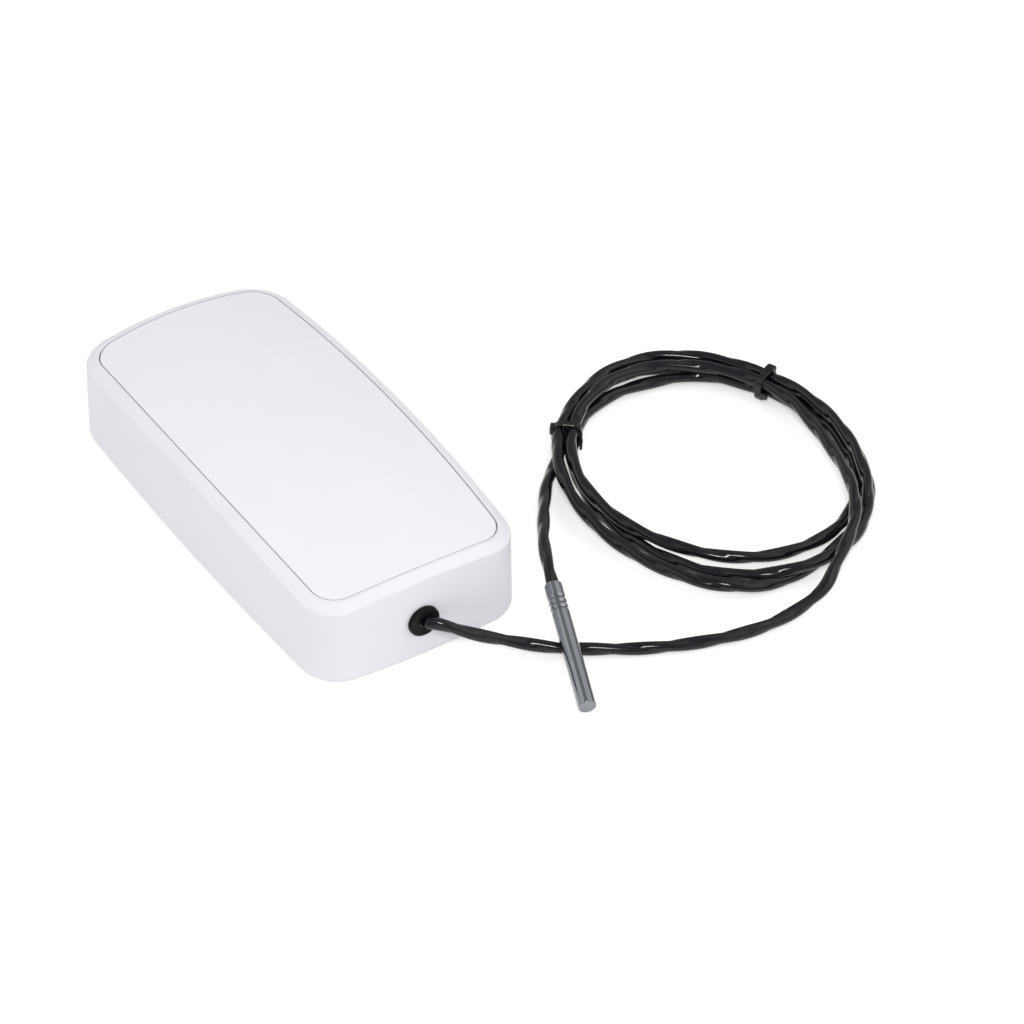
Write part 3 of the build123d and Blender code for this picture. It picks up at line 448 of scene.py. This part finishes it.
def twisted_tube(name, line, section, pitch):
    """A tube mesh along a line, with a section in millimetres that turns once in each pitch."""
    vertices = []
    faces = []
    direction = (line[1] - line[0]).normalized()
    across = direction.orthogonal().normalized()
    along = 0.0
    for number, place in enumerate(line):
        ahead = line[min(number + 1, len(line) - 1)]
        behind = line[max(number - 1, 0)]
        direction = (ahead - behind).normalized()
        across = (across - direction * across.dot(direction)).normalized()
        other = direction.cross(across)
        if number:
            along += (place - line[number - 1]).length
        twist = math.tau * along / pitch
        first = across * math.cos(twist) + other * math.sin(twist)
        second = other * math.cos(twist) - across * math.sin(twist)
        vertices += [place + (first * x + second * y) * MM for x, y in section]
    sides = len(section)
    for start in range(0, sides * (len(line) - 1), sides):
        for side in range(sides):
            a = start + side
            b = start + (side + 1) % sides
            faces.append((a, b, b + sides, a + sides))
    faces.append(tuple(range(sides - 1, -1, -1)))
    last = (len(line) - 1) * sides
    faces.append(tuple(range(last, last + sides)))
    mesh = bpy.data.meshes.new(name)
    mesh.from_pydata(vertices, [], faces)
    for face in mesh.polygons:
        face.use_smooth = len(face.vertices) == 4
    piece = bpy.data.objects.new(name, mesh)
    bpy.context.scene.collection.objects.link(piece)
    return piece


def cable():
    """The cable from the grommet through the coil to the probe."""
    line = cable_line()
    piece = twisted_tube("cable", line, two_core_section(), LOBE_PITCH * MM)
    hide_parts("cable_lead", "cable_coil", "cable_tail")
    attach(piece, "root")
    return piece


def material(name):
    """A new material, its node tree and its Principled shader."""
    made = bpy.data.materials.new(name)
    made.use_nodes = True
    return made, made.node_tree, made.node_tree.nodes["Principled BSDF"]


def noise_on(tree, scale, detail):
    """Noise in the object's own coordinates."""
    place = tree.nodes.new("ShaderNodeTexCoord")
    noise = tree.nodes.new("ShaderNodeTexNoise")
    noise.inputs["Scale"].default_value = scale
    noise.inputs["Detail"].default_value = detail
    tree.links.new(place.outputs["Object"], noise.inputs["Vector"])
    return noise.outputs["Fac"]


def spread(tree, value, edges, low, high, step="LINEAR"):
    """A value between two edges, spread between low and high, evenly or in a soft step."""
    node = tree.nodes.new("ShaderNodeMapRange")
    node.interpolation_type = step
    node.inputs["From Min"].default_value = edges[0]
    node.inputs["From Max"].default_value = edges[1]
    node.inputs["To Min"].default_value = low
    node.inputs["To Max"].default_value = high
    tree.links.new(value, node.inputs["Value"])
    return node.outputs["Result"]


def computed(tree, operation, *values):
    """What a Math node's operation makes of one or two values."""
    node = tree.nodes.new("ShaderNodeMath")
    node.operation = operation
    for value, socket in zip(values, node.inputs):
        tree.links.new(value, socket)
    return node.outputs["Value"]


def between(tree, value, first, second):
    """A colour between two, by noise."""
    ramp = tree.nodes.new("ShaderNodeValToRGB")
    for element, colour, position in zip(ramp.color_ramp.elements, (first, second), NOISE_RANGE):
        element.color = (*colour, 1)
        element.position = position
    tree.links.new(value, ramp.inputs["Fac"])
    return ramp.outputs["Color"]


def painted_groove_shade(tree, colour, depth):
    """The colour with painted shade, darker in narrow grooves and seams."""
    hollow = tree.nodes.new("ShaderNodeAmbientOcclusion")
    hollow.inputs["Distance"].default_value = PAINTED_SHADE_REACH * MM
    shade = spread(tree, hollow.outputs["AO"], PAINTED_SHADE_RANGE, depth, 1)
    mix = tree.nodes.new("ShaderNodeMix")
    mix.data_type = "RGBA"
    mix.blend_type = "MULTIPLY"
    mix.inputs["Factor"].default_value = 1
    tree.links.new(colour, mix.inputs["A"])
    tree.links.new(shade, mix.inputs["B"])
    return mix.outputs["Result"]


def surface(name, first, second, patch, rough, grain, relief, metal=0, specular=0.5, crease=1):
    """A finish: two near colours in patches, a range of roughness and fine relief in mm."""
    made, tree, principled = material(name)
    patches = noise_on(tree, patch, PATCH_DETAIL)
    colour = between(tree, patches, first, second)
    # Painted shade: where asked, ambient occlusion darkens the colour in grooves and seams
    if crease < 1:
        colour = painted_groove_shade(tree, colour, crease)
    tree.links.new(colour, principled.inputs["Base Color"])
    fine = noise_on(tree, grain, GRAIN_DETAIL)
    tree.links.new(spread(tree, fine, NOISE_RANGE, *rough), principled.inputs["Roughness"])
    principled.inputs["Metallic"].default_value = metal
    principled.inputs["Specular IOR Level"].default_value = specular
    bump = tree.nodes.new("ShaderNodeBump")
    bump.inputs["Strength"].default_value = RELIEF_STRENGTH
    bump.inputs["Distance"].default_value = relief * MM
    tree.links.new(fine, bump.inputs["Height"])
    tree.links.new(bump.outputs["Normal"], principled.inputs["Normal"])
    return made


def materials():
    """The materials by record slot."""
    return {name: surface(name, *values[:6], **values[6]) for name, values in FINISHES.items()}


def dress(nodes, made, record):
    """Puts each CAD node's material on it."""
    slots = {row["node"]: row["material_slot"] for row in record["subparts"]}
    for name, node in nodes.items():
        node.data.materials.clear()
        node.data.materials.append(made[slots[name]])


def floor():
    """A wide pale floor that keeps the shadow."""
    corners = [(-FLOOR_REACH, -FLOOR_REACH), (FLOOR_REACH, -FLOOR_REACH)]
    corners += [(-x, -y) for x, y in corners]
    mesh = bpy.data.meshes.new("floor")
    mesh.from_pydata([(x, y, 0) for x, y in corners], [], [(0, 1, 2, 3)])
    plane = bpy.data.objects.new("floor", mesh)
    bpy.context.scene.collection.objects.link(plane)
    made, tree, principled = material("floor")
    principled.inputs["Base Color"].default_value = FLOOR_COLOUR
    principled.inputs["Roughness"].default_value = 1
    principled.inputs["Specular IOR Level"].default_value = 0
    path = tree.nodes.new("ShaderNodeLightPath")
    seen = computed(tree, "MAXIMUM", path.outputs["Is Camera Ray"], path.outputs["Is Glossy Ray"])
    seen = computed(tree, "MAXIMUM", seen, path.outputs["Is Transmission Ray"])
    glow = tree.nodes.new("ShaderNodeEmission")
    glow.inputs["Strength"].default_value = FLOOR_GLOW
    none = tree.nodes.new("ShaderNodeEmission")
    none.inputs["Strength"].default_value = 0
    mix = tree.nodes.new("ShaderNodeMixShader")
    add = tree.nodes.new("ShaderNodeAddShader")
    tree.links.new(seen, mix.inputs[0])
    tree.links.new(none.outputs[0], mix.inputs[1])
    tree.links.new(glow.outputs[0], mix.inputs[2])
    tree.links.new(principled.outputs[0], add.inputs[0])
    tree.links.new(mix.outputs[0], add.inputs[1])
    tree.links.new(add.outputs[0], tree.nodes["Material Output"].inputs["Surface"])
    mesh.materials.append(made)


def lamp(name, place, target, size, power):
    """A soft square lamp that points at a target."""
    data = bpy.data.lights.new(name, "AREA")
    data.shape = "SQUARE"
    data.size = size
    data.energy = power
    made = bpy.data.objects.new(name, data)
    bpy.context.scene.collection.objects.link(made)
    made.location = place
    made.rotation_mode = "QUATERNION"
    made.rotation_quaternion = (Vector(target) - Vector(place)).to_track_quat("-Z", "Y")


def facing(tree, direction, towards):
    """How far a direction of the surround faces another one, from -1 to 1."""
    product = tree.nodes.new("ShaderNodeVectorMath")
    product.operation = "DOT_PRODUCT"
    product.inputs[1].default_value = Vector(towards).normalized()
    tree.links.new(direction, product.inputs[0])
    return product.outputs["Value"]


def surround(tree):
    """Strength of the surround in each direction."""
    direction = tree.nodes.new("ShaderNodeTexCoord").outputs["Generated"]
    across = computed(tree, "ABSOLUTE", facing(tree, direction, ACROSS_BAND))
    sides = spread(tree, across, BAND_EDGES, DARK, BRIGHT, "SMOOTHSTEP")
    behind = facing(tree, direction, DARK_PART)
    front = spread(tree, behind, PART_EDGES, BRIGHT, DARK, "SMOOTHSTEP")
    rise = facing(tree, direction, UP)
    low = spread(tree, rise, LOW_EDGES, LOW, BRIGHT, "SMOOTHSTEP")
    return computed(tree, "MINIMUM", computed(tree, "MINIMUM", sides, front), low)


def light():
    """The surround, a wide soft lamp at the side and a narrow one for the highlights."""
    world = bpy.data.worlds.new("world")
    bpy.context.scene.world = world
    world.use_nodes = True
    tree = world.node_tree
    background = tree.nodes["Background"]
    background.inputs["Color"].default_value = (1, 1, 1, 1)
    path = tree.nodes.new("ShaderNodeLightPath")
    strength = tree.nodes.new("ShaderNodeMix")
    strength.inputs["B"].default_value = WHITE
    tree.links.new(path.outputs["Is Camera Ray"], strength.inputs["Factor"])
    tree.links.new(surround(tree), strength.inputs["A"])
    tree.links.new(strength.outputs["Result"], background.inputs["Strength"])
    for name, values in LAMPS.items():
        lamp(name, *values)


def main():
    """Builds the scene round the solids of the frame."""
    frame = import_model()
    nodes = frame["nodes"]
    camera()
    ties = [tie(name, *values) for name, values in TIES.items()]
    cable_piece = cable()
    made = materials()
    dress(nodes, made, frame["record"])
    cable_piece.data.materials.append(made["cable_black"])
    for piece in ties:
        piece.data.materials.append(made["tie_black"])
    floor()
    light()
    bpy.context.scene.view_settings.view_transform = "Standard"


main()
